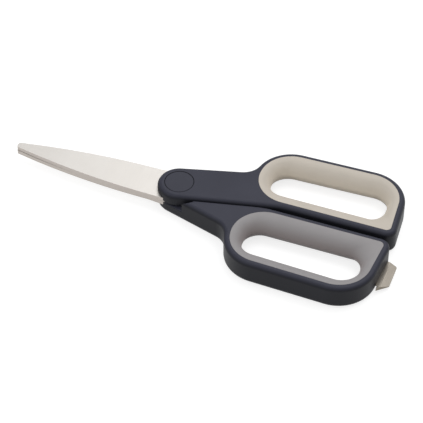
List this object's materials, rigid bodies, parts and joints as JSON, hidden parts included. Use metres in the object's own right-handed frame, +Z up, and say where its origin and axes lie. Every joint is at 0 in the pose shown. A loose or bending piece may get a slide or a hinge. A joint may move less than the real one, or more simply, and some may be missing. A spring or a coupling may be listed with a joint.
{
  "type": "kitchen shears",
  "caption": "Kitchen shears with two pivoting steel blades, moulded handles with soft-lined finger loops, and a small steel opener blade in one handle's end.",
  "frame": {"origin": "on the pivot's axis, at the height of the surface that the closed shears lie on", "axes": "+X from the pivot to the finger loops, +Z up through the shears' thickness, +Y towards the upper half's finger loop"},
  "size_m": [0.2272, 0.0932, 0.0146],
  "materials": {
    "handle_plastic": "fine moulded grain, dark blue-grey",
    "cap_plastic": "fine moulded grain, dark blue-grey",
    "light_grip": "matt warm light grey soft-touch rubber",
    "grey_grip": "matt mid grey soft-touch rubber",
    "blade_steel": "satin ground stainless steel",
    "opener_steel": "satin stainless steel",
    "pivot_steel": "turned steel"
  },
  "bodies": {
    "lower_half": {"lower_handle": "handle_plastic", "lower_grip": "grey_grip", "lower_blade": "blade_steel", "lower_pivot_cap": "cap_plastic", "pivot_bolt": "pivot_steel", "pivot_nut": "pivot_steel", "spring_washer": "pivot_steel", "opener_blade": "opener_steel"},
    "upper_half": {"upper_handle": "handle_plastic", "upper_grip": "light_grip", "upper_blade": "blade_steel", "upper_pivot_cap": "cap_plastic"}
  },
  "joints": [
    {"name": "blade_pivot", "type": "hinge", "parent": "lower_half", "child": "upper_half", "pos_m": [0, 0, 0], "axis": [0, 0, 1], "range_deg": [0, 70]}
  ]
}
